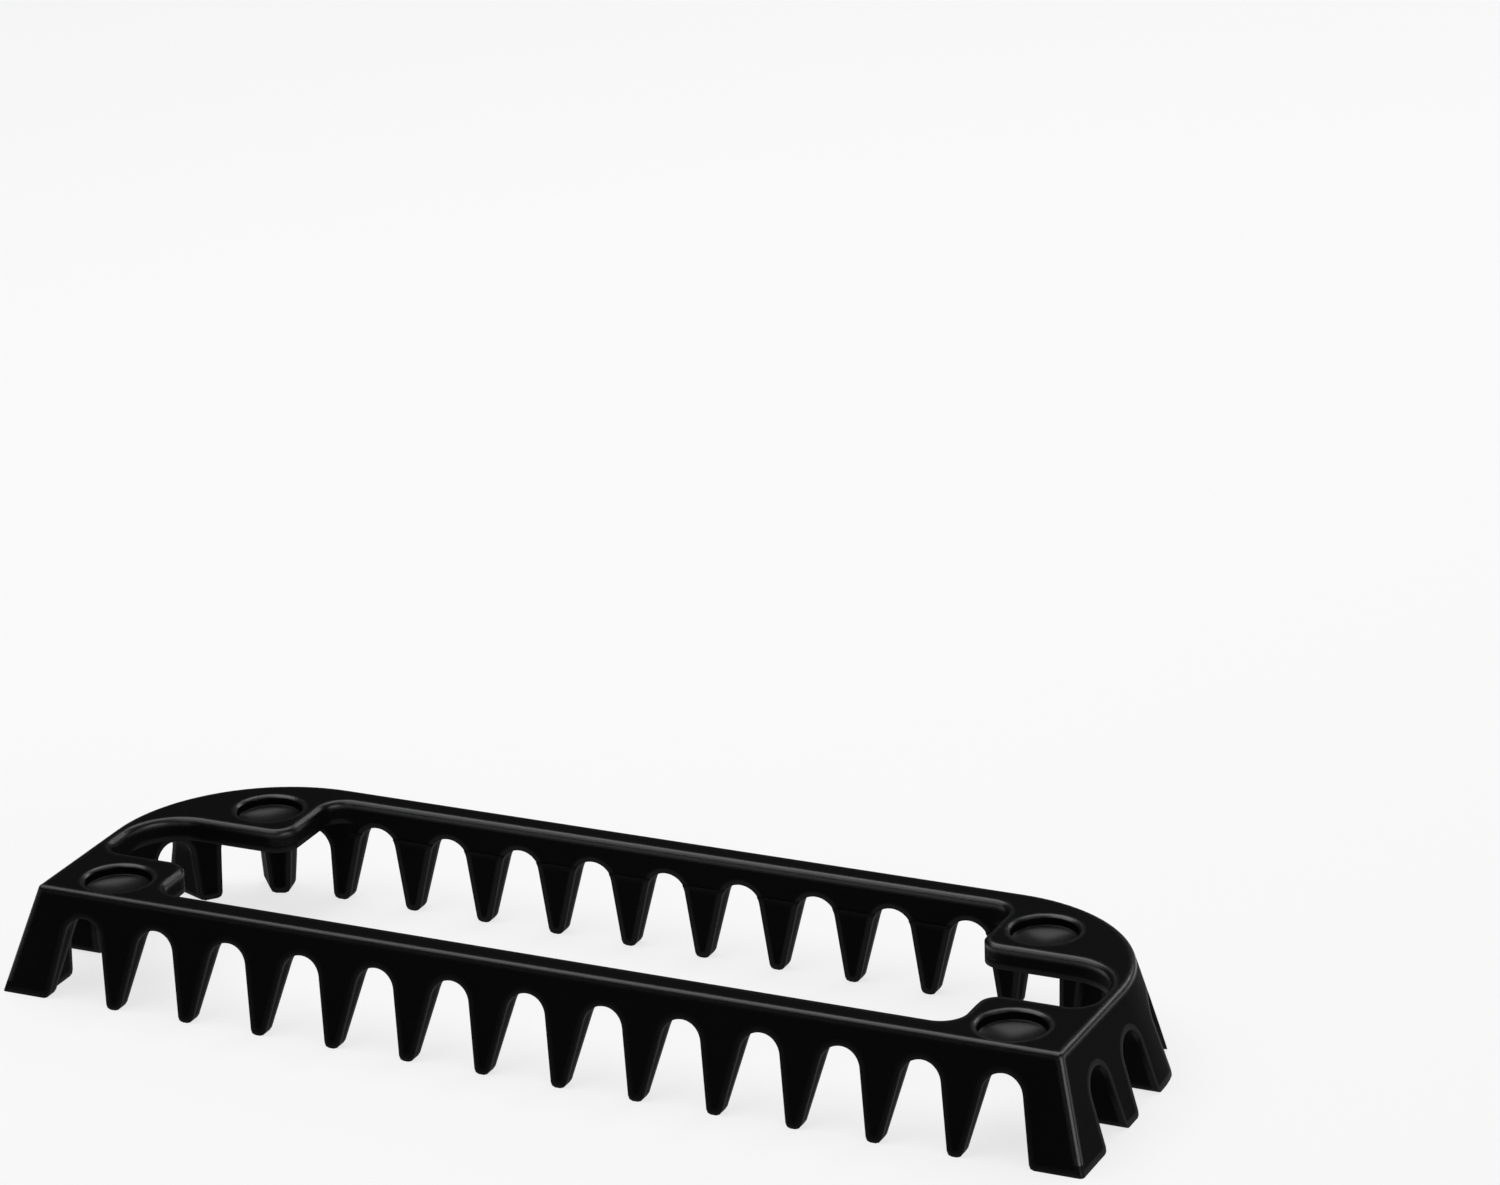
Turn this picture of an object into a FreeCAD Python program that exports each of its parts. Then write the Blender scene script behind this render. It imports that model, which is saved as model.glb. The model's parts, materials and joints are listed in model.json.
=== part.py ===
"""One-piece cooling stand: a raised frame on a ring of tapered teeth, with four pads for round feet."""
import FreeCAD, Part
import math
import os

# Overall form: the top outline, and how far the floor outline spreads beyond it, or draws in at the rear
TOP_WIDTH = 200.0
TOP_DEPTH = 60.0
HEIGHT = 19.6
SIDE_FLARE = 5.9
FRONT_FLARE = 5.6
REAR_TAPER = 4.0
TOP_CORNER_RADIUS = 32.0
FLOOR_CORNER_RADIUS = 24.0

# Top plate, its rails, and the thickness of the front and rear teeth at the floor and under the plate
PLATE_THICKNESS = 4.4
RAIL_WIDTH = 5.3
SIDE_RIM = 2.4
FRONT_TIP_THICKNESS = 2.4
FRONT_ROOT_THICKNESS = 4.6
REAR_TIP_THICKNESS = 2.8

# Opening in the plate: pads stand in from the ends, with a slot between each front and rear pad
FRONT_PAD_REACH = 21.5
FRONT_PAD_DEPTH = 18.4
REAR_PAD_REACH = 30.8
REAR_PAD_DEPTH = 23.0
PAD_CORNER_RADIUS = 4.0
PAD_ROOT_RADIUS = 4.5
# Corner radii at the end of a slot, as shares of the slot's depth
SLOT_FRONT_SHARE = 0.24
SLOT_REAR_SHARE = 0.54

# Gaps between the teeth: even rows at the front, rear and sides, with wider teeth around the ends
GAP_PITCH = 15.0
FRONT_GAP_COUNT = 13
REAR_GAP_COUNT = 9
CORNER_GAP_COUNT = 3
SIDE_GAP_COUNT = 2
SIDE_GAP_SETBACK = 10.0
ROW_GAP_WIDTH = 12.4
END_GAP_WIDTH = 9.0
ROW_ARCH_TOP = 15.0
END_ARCH_TOP = 13.2
ROW_FLANK_SLOPE = 0.2
END_FLANK_SLOPE = 0.05
TIP_RADIUS = 1.0

# Round foot recesses, placed from the side and the front or rear of the top outline
FOOT_RADIUS = 6.05
FOOT_RIM_BEVEL = 0.5
FOOT_WALL = 1.2
FOOT_DISH = 1.0
FRONT_FOOT_INSET = 12.1
FRONT_FOOT_SETBACK = 8.0
REAR_FOOT_INSET = 21.9
REAR_FOOT_SETBACK = 13.5

# Broken edges: a round outside, a bevel around the opening
OUTER_EDGE_ROUND = 0.8
OPENING_EDGE_BEVEL = 0.6

# Overshoot of cutting solids past the faces they cut
CUT_MARGIN = 2.0
# How near a point has to lie to a face to count as on it
ON_FACE = 0.001

# Places that follow from the sizes, with the origin at the middle of the footprint
HALF_WIDTH = TOP_WIDTH / 2
FLOOR_HALF_WIDTH = HALF_WIDTH + SIDE_FLARE
REAR_LEAN = math.atan(REAR_TAPER / HEIGHT)
REAR_ROUND_LOSS = OUTER_EDGE_ROUND * ((1 + math.sin(REAR_LEAN)) / math.cos(REAR_LEAN) - 1)
FLOOR_FRONT_Y = -(FRONT_FLARE + TOP_DEPTH - REAR_ROUND_LOSS) / 2
FRONT_Y = FLOOR_FRONT_Y + FRONT_FLARE
REAR_Y = FRONT_Y + TOP_DEPTH
FLOOR_REAR_Y = REAR_Y - REAR_TAPER
INNER_FRONT_Y = FRONT_Y + RAIL_WIDTH
UNDERSIDE_Z = HEIGHT - PLATE_THICKNESS
ROOT_FRONT_Y = FLOOR_FRONT_Y + FRONT_FLARE * UNDERSIDE_Z / HEIGHT + FRONT_ROOT_THICKNESS
INNER_HALF_WIDTH = HALF_WIDTH - SIDE_RIM
INNER_REAR_Y = REAR_Y - RAIL_WIDTH
INNER_CORNER_RADIUS = TOP_CORNER_RADIUS - RAIL_WIDTH
CORNER_CENTRE = FreeCAD.Vector(HALF_WIDTH - TOP_CORNER_RADIUS, REAR_Y - TOP_CORNER_RADIUS, 0)

UP = FreeCAD.Vector(0, 0, 1)


def rounded_wire(corners, z):
    """Closed wire through (x, y, radius) corners at height z, each corner turned into a tangent arc."""
    starts, edges = [], []
    count = len(corners)
    for i, (x, y, radius) in enumerate(corners):
        here = FreeCAD.Vector(x, y, z)
        before = FreeCAD.Vector(corners[i - 1][0], corners[i - 1][1], z)
        after = FreeCAD.Vector(corners[(i + 1) % count][0], corners[(i + 1) % count][1], z)
        to_before = (before - here).normalize()
        to_after = (after - here).normalize()
        half_angle = to_before.getAngle(to_after) / 2
        reach = radius / math.tan(half_angle)
        start = here + to_before * reach
        end = here + to_after * reach
        starts.append((start, end))
        if radius > 0:
            inward = (to_before + to_after).normalize()
            middle = here + inward * (radius / math.sin(half_angle) - radius)
            edges.append(Part.Arc(start, middle, end).toShape())
        else:
            edges.append(None)
    wire = []
    for i in range(count):
        if edges[i] is not None:
            wire.append(edges[i])
        wire.append(Part.makeLine(starts[i][1], starts[(i + 1) % count][0]))
    return Part.Wire(wire)


def outline(half_width, front, rear, radius, z):
    """Plan outline with a square-cornered front and two rounded rear corners."""
    corners = [
        (-half_width, front, 0),
        (half_width, front, 0),
        (half_width, rear, radius),
        (-half_width, rear, radius),
    ]
    return rounded_wire(corners, z)


def walled_solid(low, high):
    """Solid between two outlines with matching edges: flat walls between lines, ruled walls between arcs."""
    faces = [Part.Face(high), Part.Face(low)]
    for below, above in zip(low.OrderedEdges, high.OrderedEdges):
        if below.Curve.TypeId == "Part::GeomLine":
            ends = [(below.firstVertex, below.lastVertex), (above.lastVertex, above.firstVertex)]
            corners = [vertex(True).Point for pair in ends for vertex in pair]
            faces.append(Part.Face(Part.makePolygon(corners + corners[:1])))
        else:
            faces.append(Part.makeRuledSurface(below, above))
    skin = Part.makeCompound(faces)
    skin.sewShape(ON_FACE)
    shell = skin.Shells[0]
    if Part.Solid(shell).Orientation == "Reversed":
        shell.reverse()
    return Part.Solid(shell)


def flared_body():
    """Solid between the floor outline and the top outline, with its front corners and top edge rounded."""
    floor = outline(FLOOR_HALF_WIDTH, FLOOR_FRONT_Y, FLOOR_REAR_Y, FLOOR_CORNER_RADIUS, 0)
    top = outline(HALF_WIDTH, FRONT_Y, REAR_Y, TOP_CORNER_RADIUS, HEIGHT)
    body = walled_solid(floor, top)
    front_middle = (FLOOR_FRONT_Y + FRONT_Y) / 2
    rounded = [
        edge for edge in body.Edges
        if edge.BoundBox.ZMin > HEIGHT - ON_FACE or abs(edge.CenterOfMass.y - front_middle) < ON_FACE
    ]
    return body.makeFillet(OUTER_EDGE_ROUND, rounded)


def below_plate(floor_value, plate_value, z):
    """Value at height z on the straight run from the floor to the underside of the plate."""
    return floor_value + (plate_value - floor_value) * z / UNDERSIDE_Z


def underside_void():
    """Space inside the ring of teeth, up to the underside of the plate."""
    wires = []
    for z in (-CUT_MARGIN, UNDERSIDE_Z):
        front = below_plate(FLOOR_FRONT_Y + FRONT_TIP_THICKNESS, ROOT_FRONT_Y, z)
        rear = below_plate(FLOOR_REAR_Y - REAR_TIP_THICKNESS, INNER_REAR_Y, z)
        wires.append(outline(INNER_HALF_WIDTH, front, rear, INNER_CORNER_RADIUS, z))
    return walled_solid(*wires)


def plate_opening():
    """Main opening and its two end slots, cut straight through the plate."""
    front_pad_x = HALF_WIDTH - FRONT_PAD_REACH
    rear_pad_x = HALF_WIDTH - REAR_PAD_REACH
    slot_front = FRONT_Y + FRONT_PAD_DEPTH
    slot_rear = REAR_Y - REAR_PAD_DEPTH
    slot_depth = slot_rear - slot_front
    right = [
        (front_pad_x, INNER_FRONT_Y, PAD_ROOT_RADIUS),
        (front_pad_x, slot_front, PAD_CORNER_RADIUS),
        (INNER_HALF_WIDTH, slot_front, SLOT_FRONT_SHARE * slot_depth),
        (INNER_HALF_WIDTH, slot_rear, SLOT_REAR_SHARE * slot_depth),
        (rear_pad_x, slot_rear, PAD_CORNER_RADIUS),
        (rear_pad_x, INNER_REAR_Y, PAD_ROOT_RADIUS),
    ]
    left = [(-x, y, radius) for x, y, radius in reversed(right)]
    wire = rounded_wire(right + left, UNDERSIDE_Z - CUT_MARGIN)
    return Part.Face(wire).extrude(UP * (PLATE_THICKNESS + 2 * CUT_MARGIN))


def foot_recess(x, y):
    """Round recess with a bevelled rim and a dished floor, turned about its own upright axis."""
    wall_low = HEIGHT - FOOT_RIM_BEVEL - FOOT_WALL
    over_z = HEIGHT + CUT_MARGIN
    rim_radius = FOOT_RADIUS + FOOT_RIM_BEVEL
    dish_radius = (FOOT_RADIUS ** 2 + FOOT_DISH ** 2) / (2 * FOOT_DISH)
    floor_z = wall_low - FOOT_DISH
    halfway = FOOT_RADIUS / 2
    halfway_z = floor_z + dish_radius - math.sqrt(dish_radius ** 2 - halfway ** 2)
    profile = [
        (FOOT_RADIUS, wall_low),
        (FOOT_RADIUS, HEIGHT - FOOT_RIM_BEVEL),
        (rim_radius, HEIGHT),
        (rim_radius, over_z),
        (0, over_z),
        (0, floor_z),
    ]
    points = [FreeCAD.Vector(radius, 0, z) for radius, z in profile]
    dish = Part.Arc(points[-1], FreeCAD.Vector(halfway, 0, halfway_z), points[0]).toShape()
    section = Part.Face(Part.Wire(Part.makePolygon(points).Edges + [dish]))
    recess = section.revolve(FreeCAD.Vector(), UP, 360)
    recess.translate(FreeCAD.Vector(x, y, 0))
    return recess


def foot_recesses():
    """One recess on each pad, mirrored left to right."""
    places = [
        (HALF_WIDTH - FRONT_FOOT_INSET, FRONT_Y + FRONT_FOOT_SETBACK),
        (HALF_WIDTH - REAR_FOOT_INSET, REAR_Y - REAR_FOOT_SETBACK),
    ]
    return [foot_recess(side * x, y) for x, y in places for side in (-1, 1)]


def gap_profile(floor_width, arch_top, slope):
    """Face of one gap in the XZ plane: tooth tips rounded in two flats, leaning flanks and a round arch."""
    lean = math.atan(slope)
    half = floor_width / 2
    arch_centre_z = (arch_top - half * math.cos(lean)) / (1 - math.sin(lean))
    arch_radius = arch_top - arch_centre_z
    tip_reach = TIP_RADIUS * math.tan(math.pi / 4 - lean / 2)
    tip_middle = math.pi / 4 + lean / 2

    def side_points(sign):
        points = [
            (half + tip_reach, -CUT_MARGIN),
            (half + tip_reach, 0),
            (half + tip_reach - TIP_RADIUS * math.cos(tip_middle), TIP_RADIUS * (1 - math.sin(tip_middle))),
            (half - tip_reach * math.sin(lean), tip_reach * math.cos(lean)),
            (arch_radius * math.cos(lean), arch_centre_z + arch_radius * math.sin(lean)),
        ]
        return [FreeCAD.Vector(sign * x, 0, z) for x, z in points]

    right = side_points(1)
    left = side_points(-1)
    flanks = Part.makePolygon(left[::-1] + right).Edges
    arch = Part.Arc(right[-1], UP * arch_top, left[-1]).toShape()
    return Part.Face(Part.Wire(flanks + [arch]))


def gap_cutter(profile, place, turn, length):
    """Gap profile pushed outward by length from a place in plan, turned about the upright axis."""
    cutter = profile.extrude(FreeCAD.Vector(0, length, 0))
    cutter.rotate(FreeCAD.Vector(), UP, turn)
    cutter.translate(place)
    return cutter


def row_positions(count):
    """Centres of a row of gaps, symmetric about zero."""
    return [GAP_PITCH * (i - (count - 1) / 2) for i in range(count)]


def row_cutters():
    """Gaps of the front and rear rows."""
    gap = gap_profile(ROW_GAP_WIDTH, ROW_ARCH_TOP, ROW_FLANK_SLOPE)
    front_start = INNER_FRONT_Y + CUT_MARGIN
    front_length = front_start - FLOOR_FRONT_Y + CUT_MARGIN
    rear_start = FLOOR_REAR_Y - REAR_TIP_THICKNESS - CUT_MARGIN
    rear_length = REAR_Y - rear_start + CUT_MARGIN
    cutters = []
    for x in row_positions(FRONT_GAP_COUNT):
        cutters.append(gap_cutter(gap, FreeCAD.Vector(x, front_start, 0), 180, front_length))
    for x in row_positions(REAR_GAP_COUNT):
        cutters.append(gap_cutter(gap, FreeCAD.Vector(x, rear_start, 0), 0, rear_length))
    return cutters


def corner_turns(last_side_y):
    """Directions of the corner gaps in degrees from the rear, shared out between the rear and side rows."""
    before = CORNER_CENTRE.x - max(row_positions(REAR_GAP_COUNT))
    after = CORNER_CENTRE.y - last_side_y
    step = (before + TOP_CORNER_RADIUS * math.pi / 2 + after) / (CORNER_GAP_COUNT + 1)
    return [math.degrees((step * (i + 1) - before) / TOP_CORNER_RADIUS) for i in range(CORNER_GAP_COUNT)]


def end_cutters():
    """Gaps of the sides and of the rounded rear corners, mirrored left to right."""
    gap = gap_profile(END_GAP_WIDTH, END_ARCH_TOP, END_FLANK_SLOPE)
    side_gaps = [FRONT_Y + SIDE_GAP_SETBACK + GAP_PITCH * i for i in range(SIDE_GAP_COUNT)]
    side_start = INNER_HALF_WIDTH - CUT_MARGIN
    side_length = FLOOR_HALF_WIDTH - side_start + CUT_MARGIN
    corner_length = math.hypot(FLOOR_HALF_WIDTH - CORNER_CENTRE.x, TOP_CORNER_RADIUS)
    places = [(side_start, y, 90, side_length) for y in side_gaps]
    for turn in corner_turns(max(side_gaps)):
        places.append((CORNER_CENTRE.x, CORNER_CENTRE.y, turn, corner_length))
    return [
        gap_cutter(gap, FreeCAD.Vector(side * x, y, 0), -side * turn, length)
        for x, y, turn, length in places for side in (-1, 1)
    ]


def bevel_opening(solid, opening):
    """Bevels the top edges of the plate that run along the opening."""
    edges = [
        edge for edge in solid.Edges
        if edge.BoundBox.ZMin > HEIGHT - ON_FACE and opening.distToShape(edge)[0] < ON_FACE
    ]
    return solid.makeChamfer(OPENING_EDGE_BEVEL, edges)


def build_stand():
    """The finished one-piece stand."""
    opening = plate_opening()
    stand = flared_body().cut([underside_void(), opening] + foot_recesses())
    stand = bevel_opening(stand, opening)
    for cutter in row_cutters() + end_cutters():
        stand = stand.cut(cutter)
    return stand.Solids[0]


os.makedirs("parts", exist_ok=True)
stand = build_stand()
print("valid", stand.isValid(), "volume", round(stand.Volume, 1), stand.optimalBoundingBox(True, False))
stand.exportStep("parts/stand_frame.step")
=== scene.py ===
# %% [markdown]
# # Dressing a black cooling stand
# The stand is one moulding in black plastic: a flat frame on a ring of tapered teeth, with a round recess
# on each of its four pads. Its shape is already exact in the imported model, so this lesson leaves the mesh
# alone and works on what the eye reads next: the camera, the floor, the light and the plastic itself.

# %% Load the stand
import json
import math

import bpy
from mathutils import Matrix, Vector


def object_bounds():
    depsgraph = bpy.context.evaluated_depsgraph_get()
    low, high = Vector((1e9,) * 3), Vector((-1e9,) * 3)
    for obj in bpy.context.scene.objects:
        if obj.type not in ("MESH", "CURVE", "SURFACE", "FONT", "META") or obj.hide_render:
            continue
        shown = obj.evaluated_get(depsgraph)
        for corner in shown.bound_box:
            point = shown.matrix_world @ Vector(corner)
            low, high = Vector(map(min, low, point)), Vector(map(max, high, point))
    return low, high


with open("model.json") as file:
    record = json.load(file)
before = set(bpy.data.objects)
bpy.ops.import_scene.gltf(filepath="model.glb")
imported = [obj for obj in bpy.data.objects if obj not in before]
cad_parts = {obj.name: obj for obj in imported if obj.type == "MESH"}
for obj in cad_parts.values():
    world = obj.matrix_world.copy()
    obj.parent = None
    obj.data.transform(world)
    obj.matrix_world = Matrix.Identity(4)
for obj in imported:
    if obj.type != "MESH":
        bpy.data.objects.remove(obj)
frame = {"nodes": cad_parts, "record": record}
cad_low, cad_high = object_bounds()
stand = frame["nodes"]["stand_frame"]
stand_size = [round(side, 4) for side in cad_high - cad_low]
print("stand:", len(stand.data.polygons), "triangles,", stand_size, "m")

# %% [markdown]
# ## The camera
# A picture of a small product is mostly taken with a long lens from about a metre away, so that parallel
# edges stay nearly parallel. The view is from the right front and a little above, and the picture leaves
# room above the stand. A camera could be placed by dragging it about; here it is swung around a point that
# it aims at, because three angles and a distance are easy to read and to change one at a time.
# A focal length in pixels becomes one in millimetres through the width of the picture and of the sensor.

# %% Place the camera
IMAGE_WIDTH = 1500
FOCAL_PIXELS = 5721
SENSOR_WIDTH = 36.0
AIM = Vector((0.02427, 0.01664, 0.07690))
DISTANCE = 1.00436
AZIMUTH = math.radians(25.65)
ELEVATION = math.radians(20.62)
ROLL = math.radians(-2.0)

bpy.ops.object.select_all(action="DESELECT")
bpy.ops.object.camera_add()
camera = bpy.context.object
camera.name = "product_camera"
camera.data.sensor_width = SENSOR_WIDTH
camera.data.lens = SENSOR_WIDTH * FOCAL_PIXELS / IMAGE_WIDTH
swing = Matrix.Rotation(AZIMUTH, 4, "Z") @ Matrix.Rotation(math.pi / 2 - ELEVATION, 4, "X")
pull_back = Matrix.Rotation(ROLL, 4, "Z") @ Matrix.Translation((0, 0, DISTANCE))
camera.matrix_world = Matrix.Translation(AIM) @ swing @ pull_back
bpy.context.scene.camera = camera
camera_place = [round(x, 3) for x in camera.matrix_world.translation]
print("camera lens", round(camera.data.lens, 1), "mm at", camera_place)

# %% [markdown]
# ## Writing shaders as sums
# A material is a web of nodes, and a web that is built line by line is hard to read. This small class
# wraps one output socket, so that plus, minus and times on it add Math nodes, and sums adds a Math node of
# any other kind. Its one method for the rest, node, takes a node's type, settings and inputs. A shader then
# reads like the sentence that describes it.


# %% The socket class
class Wire:
    """One output of a node in a tree, or the tree itself where no output is named yet."""

    def __init__(self, tree, socket=None):
        self.tree = tree
        self.socket = socket

    def node(self, kind, inputs=None, output=0, **settings):
        """Adds a node, sets it up, then fills or links its inputs, and returns the output asked for."""
        made = self.tree.nodes.new(kind)
        for name, value in settings.items():
            setattr(made, name, value)
        for name, value in (inputs or {}).items():
            if isinstance(value, Wire):
                self.tree.links.new(value.socket, made.inputs[name])
            else:
                made.inputs[name].default_value = value
        return Wire(self.tree, made.outputs[output] if made.outputs else None)

    def sums(self, operation, first, second=0.0):
        """Adds a Math node on one or two values, which may be numbers or Wires."""
        return self.node("ShaderNodeMath", {0: first, 1: second}, operation=operation)

    def __add__(self, other):
        return self.sums("ADD", self, other)

    def __radd__(self, other):
        return self.sums("ADD", other, self)

    def __sub__(self, other):
        return self.sums("SUBTRACT", self, other)

    def __rsub__(self, other):
        return self.sums("SUBTRACT", other, self)

    def __mul__(self, other):
        return self.sums("MULTIPLY", self, other)

    def __rmul__(self, other):
        return self.sums("MULTIPLY", other, self)


def new_material(name):
    """An empty node material, and a Wire to build it with."""
    material = bpy.data.materials.new(name)
    material.use_nodes = True
    material.node_tree.nodes.clear()
    return material, Wire(material.node_tree)


print("shader sums ready")

# %% [markdown]
# ## The floor
# The stand waits on a plain white floor. A floor that is lit to pure white would need so much light that
# the black plastic turned grey, so most of its white is a glow of its own, but only where the camera, or a
# reflection in the plastic, looks at it. The rest is plain paint, which keeps the soft shadow.

# %% Lay the floor
FLOOR_SIZE = 8.0
FLOOR_PAINT = (0.92, 0.92, 0.92, 1)
FLOOR_GLOW = (1, 1, 1, 1)
FLOOR_GLOW_STRENGTH = 1.0
FLOOR_GLOW_SHARE = 0.75

bpy.ops.object.select_all(action="DESELECT")
bpy.ops.mesh.primitive_plane_add(size=FLOOR_SIZE, location=(0, 0, cad_low.z))
floor = bpy.context.object
floor.name = "floor"
floor_paint, shader = new_material("floor_paint")
seen_by_camera = shader.node("ShaderNodeLightPath", output="Is Camera Ray")
seen_in_gloss = shader.node("ShaderNodeLightPath", output="Is Glossy Ray")
seen_through = shader.node("ShaderNodeLightPath", output="Is Transmission Ray")
paint = shader.node("ShaderNodeBsdfDiffuse", {"Color": FLOOR_PAINT})
glow = shader.node("ShaderNodeEmission", {"Color": FLOOR_GLOW, "Strength": FLOOR_GLOW_STRENGTH})
glow_share = (seen_by_camera + seen_in_gloss + seen_through) * FLOOR_GLOW_SHARE
surface = shader.node("ShaderNodeMixShader", {"Fac": glow_share, 1: paint, 2: glow})
shader.node("ShaderNodeOutputMaterial", {"Surface": surface})
floor.data.materials.append(floor_paint)
print("floor", FLOOR_SIZE, "m wide at height", round(cad_low.z, 6))

# %% [markdown]
# ## The light
# Black plastic shows almost nothing but reflections, so each lamp is placed for what it draws. A broad
# softbox overhead draws the bright lines along the top edges, the arcs on the rims of the round recesses
# and the glint on their floors. A low one to the right of the front draws the line down the front corner,
# and a small one behind draws the top edge on the right. One bright sky would be simpler, but it lights
# every face alike and turns the black to grey, so the room itself is only a dim even grey.

# %% Hang the lamps
ROOM_GREY = (0.9, 0.95, 1.0, 1)
ROOM_STRENGTH = 0.05


def softbox(name, place, size, power):
    """A rectangular lamp at a place, turned to face the stand."""
    bpy.ops.object.light_add(type="AREA", location=place)
    lamp = bpy.context.object
    lamp.name = name
    lamp.data.shape = "RECTANGLE"
    lamp.data.size, lamp.data.size_y = size
    lamp.data.energy = power
    lamp.rotation_euler = (-Vector(place)).to_track_quat("-Z", "Y").to_euler()
    print("lamp", name, size, "m,", power, "W")


world = bpy.data.worlds.new("room")
world.use_nodes = True
world.node_tree.nodes.clear()
room = Wire(world.node_tree)
backdrop = room.node("ShaderNodeBackground", {"Color": ROOM_GREY, "Strength": ROOM_STRENGTH})
room.node("ShaderNodeOutputWorld", {"Surface": backdrop})
bpy.context.scene.world = world
softbox("overhead_softbox", place=(-0.28, 0.15, 1.0), size=(1.6, 1.1), power=12.0)
softbox("corner_softbox", place=(1.05, -0.53, 0.25), size=(1.0, 0.4), power=4.7)
softbox("back_softbox", place=(0.27, 1.01, 0.59), size=(0.5, 0.3), power=1.5)

# %% [markdown]
# ## The plastic
# The real finish is a deep black with a satin surface: the mould was lightly blasted, which leaves a fine
# grain, and the tone drifts a little from place to place as the plastic cooled. Both come from noise on the
# object's own coordinates, so they stay with the stand in every view. Moulded edges are never truly sharp
# either. A round on every tooth would add thousands of faces, so a Bevel node rounds the edges for the
# light only, and the exact mesh stays as it is.

# %% Grow the grain
BLACK = (0.0010, 0.0010, 0.0011, 1)
DUSTY_BLACK = (0.0026, 0.0026, 0.0028, 1)
MM_PER_METRE = 1000
DRIFT_PER_METRE = 38
DRIFT_DETAIL = 3.0
GRAIN_PER_METRE = 2600
GRAIN_DETAIL = 2.0
GRAIN_HEIGHT = 0.000012
EDGE_ROUND = 0.0008
EDGE_SAMPLES = 6

plastic, shader = new_material("satin_black_plastic")
place = shader.node("ShaderNodeTexCoord", output="Object")


def noise(per_metre, detail):
    """Noise on the stand's own coordinates."""
    return shader.node("ShaderNodeTexNoise", {"Vector": place, "Scale": per_metre, "Detail": detail})


drift = noise(DRIFT_PER_METRE, DRIFT_DETAIL)
grain = noise(GRAIN_PER_METRE, GRAIN_DETAIL)
rounded = shader.node("ShaderNodeBevel", {"Radius": EDGE_ROUND}, samples=EDGE_SAMPLES)
bumped = shader.node("ShaderNodeBump", {"Height": grain, "Distance": GRAIN_HEIGHT, "Normal": rounded})
colour = shader.node("ShaderNodeMix", {0: drift, 6: BLACK, 7: DUSTY_BLACK}, output=2, data_type="RGBA")
print("grain every", round(MM_PER_METRE / GRAIN_PER_METRE, 2), "mm, edges rounded by", EDGE_ROUND, "m")

# %% [markdown]
# ## Rubbed edges
# Hands rub the edges smooth along the top and down the two front corners, while the edges of the teeth
# stay almost as they were moulded. A mask of the edges could be painted by hand, but one that is worked out
# from the shape follows it when the shape changes. An Ambient Occlusion node that looks inside sends short
# rays into the plastic. Near an edge they come out through the next face, and the node turns dark there.

# %% Find the rubbed edges
RUB_REACH = 0.0012
RUB_SAMPLES = 8
RUB_START = 0.98
RUB_FULL = 0.88
HANDLED_DEPTH = 0.0031
HANDLED_CORNER = 0.0073
FOOT_HEIGHT = 0.002
TOOTH_POLISH = 0.12

openness = shader.node(
    "ShaderNodeAmbientOcclusion", {"Distance": RUB_REACH}, output="AO", inside=True, samples=RUB_SAMPLES
)
edge = shader.node("ShaderNodeMapRange", {"Value": openness, "From Min": RUB_START, "From Max": RUB_FULL})
along, across, height = (
    shader.node("ShaderNodeSeparateXYZ", {"Vector": place}, output=axis) for axis in "XYZ"
)
outward = shader.sums("ABSOLUTE", along)
top = shader.sums("GREATER_THAN", height, cad_high.z - HANDLED_DEPTH)
end = shader.sums("GREATER_THAN", outward, cad_high.x - HANDLED_CORNER)
front = shader.sums("LESS_THAN", across, cad_low.y + HANDLED_CORNER)
off_floor = shader.sums("GREATER_THAN", height, cad_low.z + FOOT_HEIGHT)
handled = shader.sums("MAXIMUM", top, end * front * off_floor)
rubbed_edge = edge * (handled * (1 - TOOTH_POLISH) + TOOTH_POLISH)
print("edges rubbed above", round(cad_high.z - HANDLED_DEPTH, 4), "m and at the front corners")

# %% [markdown]
# ## Polished recesses
# The floor of each round recess and the bevel around its mouth are smoother than the frame, and each shows
# one soft glint. The short wall between them stays dull. Separate materials would need the mesh cut up, so
# here each is found by its distance in plan from the middle of its recess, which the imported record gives.
# The left side mirrors the right, so the distance to two middles serves all four. A distance in plan also
# holds for the teeth under the pads, so below the top a whole metre is added to keep the polish off them.

# %% Find the recesses
RECESSES = ["foot_recess_front_right", "foot_recess_rear_right"]
FLOOR_INSET = 0.00015
WALL_SPREAD = 0.00005
RIM_SPREAD = 0.00055
FLOOR_POLISH = 0.40

mounts = {mount["name"]: mount for mount in frame["record"]["mounts"]}
recess_radius = mounts[RECESSES[0]]["dims"]["r_mm"] / MM_PER_METRE


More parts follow.
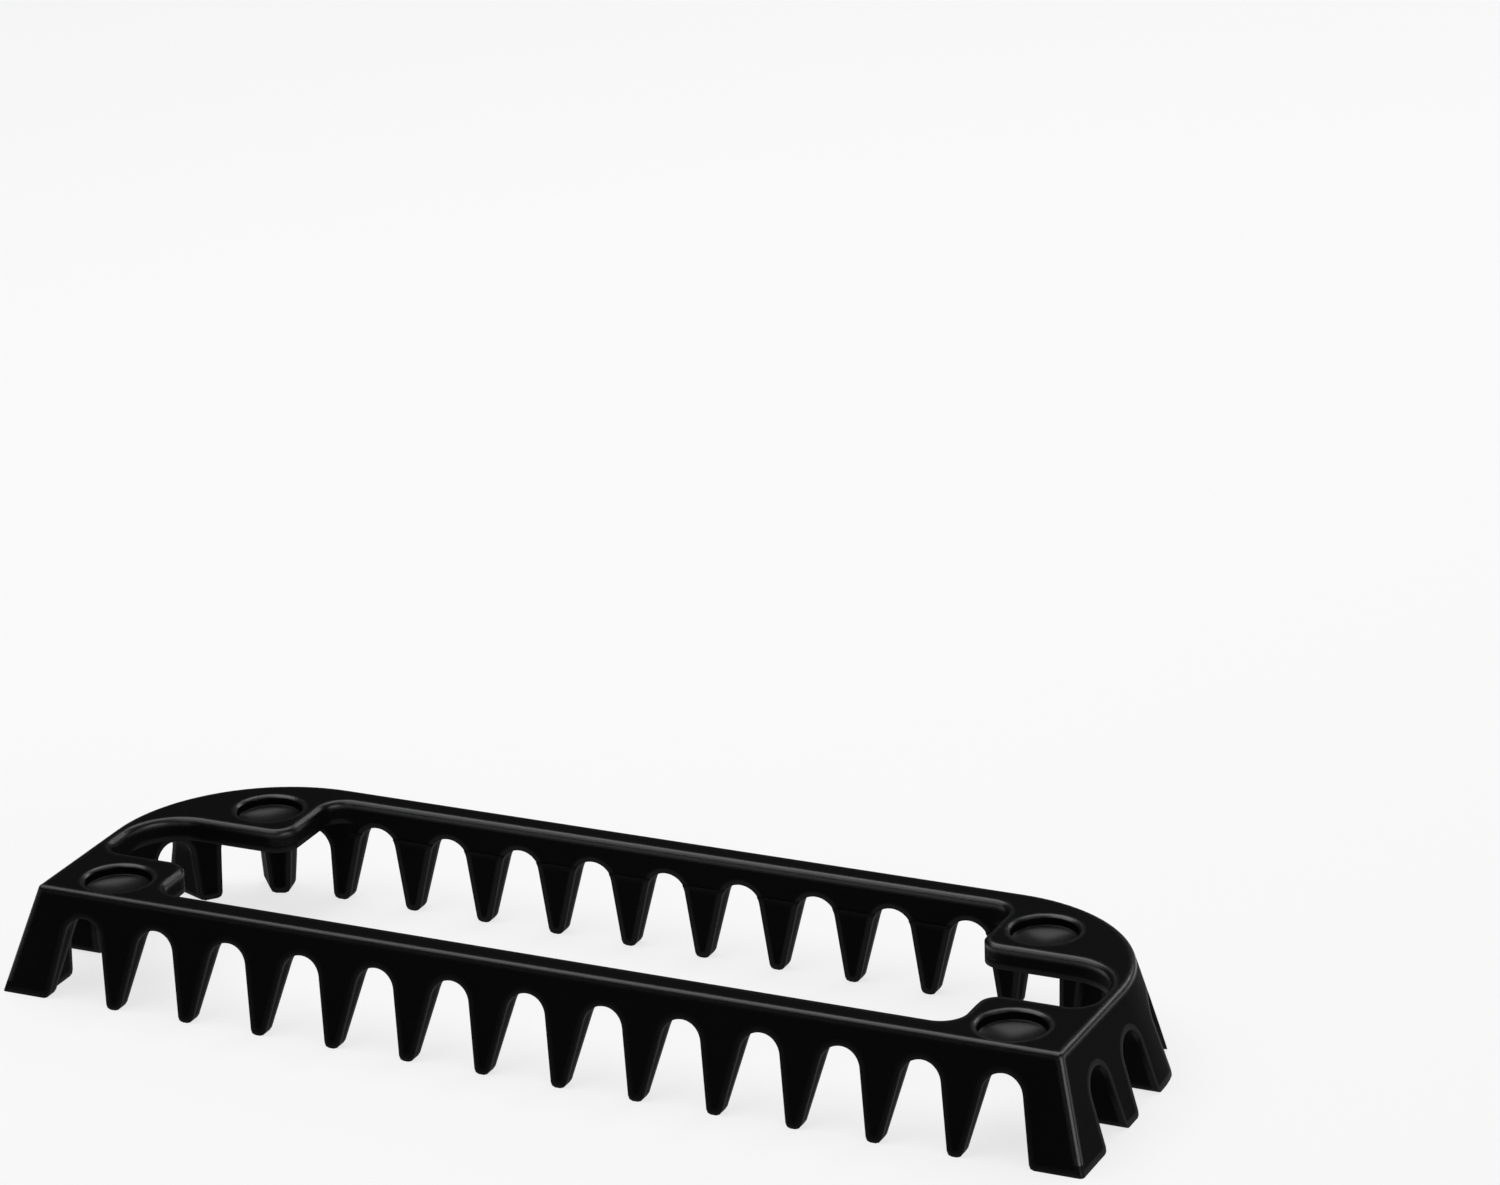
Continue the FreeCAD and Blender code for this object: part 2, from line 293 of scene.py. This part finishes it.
def recess_distance(name):
    """Distance in plan from the middle of a recess or of its mirror image."""
    x, y = mounts[name]["pos_m"][:2]
    from_x = outward - x
    from_y = across - y
    return shader.sums("SQRT", from_x * from_x + from_y * from_y)


nearest = shader.sums("MINIMUM", recess_distance(RECESSES[0]), recess_distance(RECESSES[1])) + (1 - top)
recess_floor = shader.sums("LESS_THAN", nearest, recess_radius - FLOOR_INSET)
wall = shader.sums("LESS_THAN", nearest, recess_radius + WALL_SPREAD)
rim = shader.sums("LESS_THAN", nearest, recess_radius + RIM_SPREAD) - wall
polished = shader.sums("MAXIMUM", rubbed_edge * (1 - wall), recess_floor * FLOOR_POLISH + rim)
print("recesses of radius", recess_radius, "m polished")

# %% [markdown]
# ## Two polishes of one black
# The dull faces and the polished places are the same plastic, so one function makes both and the mask mixes
# them. Changing only the roughness would be shorter, but a blasted face also reflects less than a smooth
# one, because its grain traps light, so the whole shader is mixed.

# %% Mix the plastic
PLASTIC_IOR = 1.55
FACE_ROUGHNESS = 0.68
FACE_SPECULAR = 0.03
POLISHED_ROUGHNESS = 0.26
POLISHED_SPECULAR = 0.6
ROUGHNESS_DRIFT = 0.08
NOISE_MIDDLE = 0.5


def skin(roughness, specular):
    """The black plastic at one degree of polish."""
    return shader.node("ShaderNodeBsdfPrincipled", {
        "Base Color": colour,
        "Roughness": roughness + (drift - NOISE_MIDDLE) * ROUGHNESS_DRIFT,
        "Normal": bumped,
        "IOR": PLASTIC_IOR,
        "Specular IOR Level": specular,
    })


surface = shader.node("ShaderNodeMixShader", {
    "Fac": polished,
    1: skin(FACE_ROUGHNESS, FACE_SPECULAR),
    2: skin(POLISHED_ROUGHNESS, POLISHED_SPECULAR),
})
shader.node("ShaderNodeOutputMaterial", {"Surface": surface})
for slot in stand.material_slots:
    slot.material = plastic
print("plastic nodes", len(plastic.node_tree.nodes), "on", len(stand.material_slots), "slot")

# %% [markdown]
# ## The view transform
# The picture is shown as plain sRGB, so the view transform is Standard.

# %% Finish
bpy.context.scene.view_settings.view_transform = "Standard"
